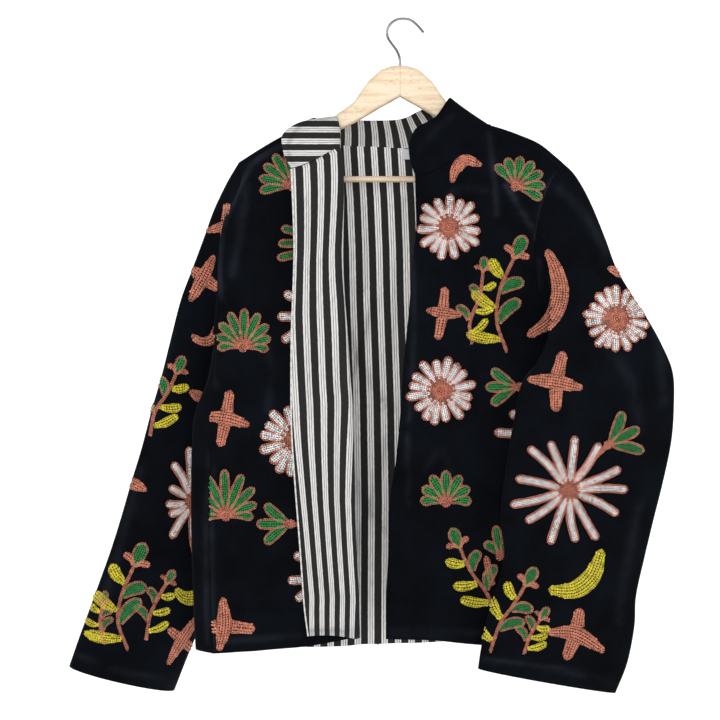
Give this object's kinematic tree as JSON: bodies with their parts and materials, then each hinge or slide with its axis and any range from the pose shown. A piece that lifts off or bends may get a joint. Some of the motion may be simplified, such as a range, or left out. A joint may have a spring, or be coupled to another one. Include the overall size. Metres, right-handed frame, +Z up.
{
  "type": "suzani jacket on a hanger",
  "caption": "Open collared jacket of embroidered velvet with a striped lining, one front turned back, hung on a wooden hanger with a metal hook.",
  "frame": {"origin": "inside of the hook's crown, where a clothes rail carries it", "axes": "+Z up along the hook's stem; -Y is the jacket's front; +X to the right of someone who faces the front"},
  "size_m": [0.7795, 0.1631, 0.8887],
  "materials": {
    "velvet": "black velvet pile with chain-stitched motifs",
    "lining": "woven black and white stripes",
    "timber": "pale wood, satin lacquer",
    "steel": "polished wire",
    "tag": "plain woven tape, no lettering"
  },
  "bodies": {
    "root": {"front_left": "velvet", "front_right": "velvet", "back": "velvet", "sleeve_left_upper": "velvet", "sleeve_left_middle": "velvet", "sleeve_left_lower": "velvet", "sleeve_right": "velvet", "collar": "velvet", "front_left_lining": "lining", "front_right_lining": "lining", "back_lining": "lining", "collar_lining": "lining", "hanger_board": "timber", "hanger_bar": "timber", "hanger_hook": "steel", "neck_tag": "tag"}
  },
  "joints": []
}
